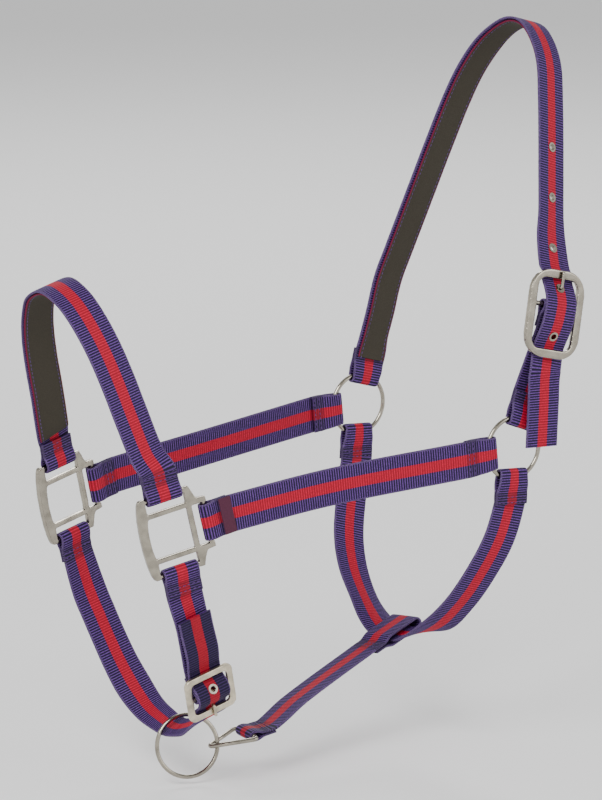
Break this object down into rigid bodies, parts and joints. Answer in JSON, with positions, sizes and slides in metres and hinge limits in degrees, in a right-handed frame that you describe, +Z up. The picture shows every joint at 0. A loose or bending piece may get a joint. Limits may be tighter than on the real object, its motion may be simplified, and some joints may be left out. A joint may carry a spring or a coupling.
{
  "type": "horse head halter",
  "caption": "Webbing head halter: lined noseband and crown, cast squares, jowl rings, adjustable crown and chin buckles, tie ring and throat connector.",
  "frame": {"origin": "midway between the centres of the two jowl rings", "axes": "+Z up, the nose towards -X, the animal's near (left) side towards -Y"},
  "size_m": [0.3818, 0.1966, 0.4732],
  "materials": {
    "webbing": "ribbed navy webbing with a red centre stripe",
    "lining": "matt suede-like lining",
    "nickel": "warm grey nickel plate",
    "cream_nickel": "satin cream nickel plate",
    "tab": "plain woven tab"
  },
  "bodies": {
    "headstall": {"noseband_strap": "webbing", "noseband_lining": "lining", "near_square": "nickel", "far_square": "nickel", "near_cheek_strap": "webbing", "far_cheek_strap": "webbing", "size_tab": "tab", "throat_strap": "webbing", "connector_strap": "webbing", "chin_strap": "webbing", "chin_buckle_strap": "webbing", "chin_eyelets": "nickel"},
    "crown": {"crown_strap": "webbing", "crown_lining": "lining", "crown_buckle_strap": "webbing", "crown_eyelets": "nickel"},
    "near_ring": {"near_ring": "nickel"},
    "far_ring": {"far_ring": "nickel"},
    "tie_ring": {"tie_ring": "nickel"},
    "link": {"triangle_link": "nickel"},
    "crown_buckle": {"crown_buckle_frame": "nickel"},
    "crown_tongue": {"crown_tongue": "nickel"},
    "crown_tail": {"crown_tail": "webbing"},
    "chin_buckle": {"chin_buckle_frame": "cream_nickel"},
    "chin_tongue": {"chin_tongue": "cream_nickel"},
    "chin_tail": {"chin_tail": "webbing"}
  },
  "joints": [
    {"name": "crown_swing", "type": "hinge", "parent": "headstall", "child": "crown", "pos_m": [0, 0, 0], "axis": [0, 1, 0], "range_deg": [-25, 45]},
    {"name": "near_ring_spin", "type": "hinge", "parent": "headstall", "child": "near_ring", "pos_m": [0, -0.09, 0], "axis": [0, 1, 0], "continuous": true},
    {"name": "far_ring_spin", "type": "hinge", "parent": "headstall", "child": "far_ring", "pos_m": [0, 0.09, 0], "axis": [0, 1, 0], "continuous": true},
    {"name": "tie_ring_swing", "type": "hinge", "parent": "headstall", "child": "tie_ring", "pos_m": [-0.19584, -0.01493, -0.17689], "axis": [0.8, -0.3446, -0.4912], "range_deg": [-4, 4]},
    {"name": "link_swing", "type": "hinge", "parent": "headstall", "child": "link", "pos_m": [-0.16055, -0.0231, -0.181], "axis": [0.1, 0.995, 0], "range_deg": [-3, 3]},
    {"name": "crown_buckle_rock", "type": "hinge", "parent": "crown", "child": "crown_buckle", "pos_m": [0.0284, -0.097, 0.091], "axis": [0.9744, 0, -0.225], "range_deg": [-1, 1]},
    {"name": "crown_tongue_tilt", "type": "hinge", "parent": "crown_buckle", "child": "crown_tongue", "pos_m": [0.0284, -0.097, 0.091], "axis": [0.9744, 0, -0.225], "range_deg": [0, 3]},
    {"name": "crown_tail_swing", "type": "hinge", "parent": "crown", "child": "crown_tail", "pos_m": [0.02022, -0.09841, 0.05558], "axis": [-0.9744, 0, 0.225], "range_deg": [0, 40]},
    {"name": "chin_buckle_rock", "type": "hinge", "parent": "headstall", "child": "chin_buckle", "pos_m": [-0.21335, -0.0625, -0.13892], "axis": [0.96, 0, 0.28], "range_deg": [-1, 1]},
    {"name": "chin_tongue_tilt", "type": "hinge", "parent": "chin_buckle", "child": "chin_tongue", "pos_m": [-0.21335, -0.0625, -0.13892], "axis": [-0.96, 0, -0.28], "range_deg": [0, 3]},
    {"name": "chin_tail_swing", "type": "hinge", "parent": "headstall", "child": "chin_tail", "pos_m": [-0.21845, -0.0637, -0.12144], "axis": [0.96, 0, 0.28], "range_deg": [0, 40]}
  ]
}
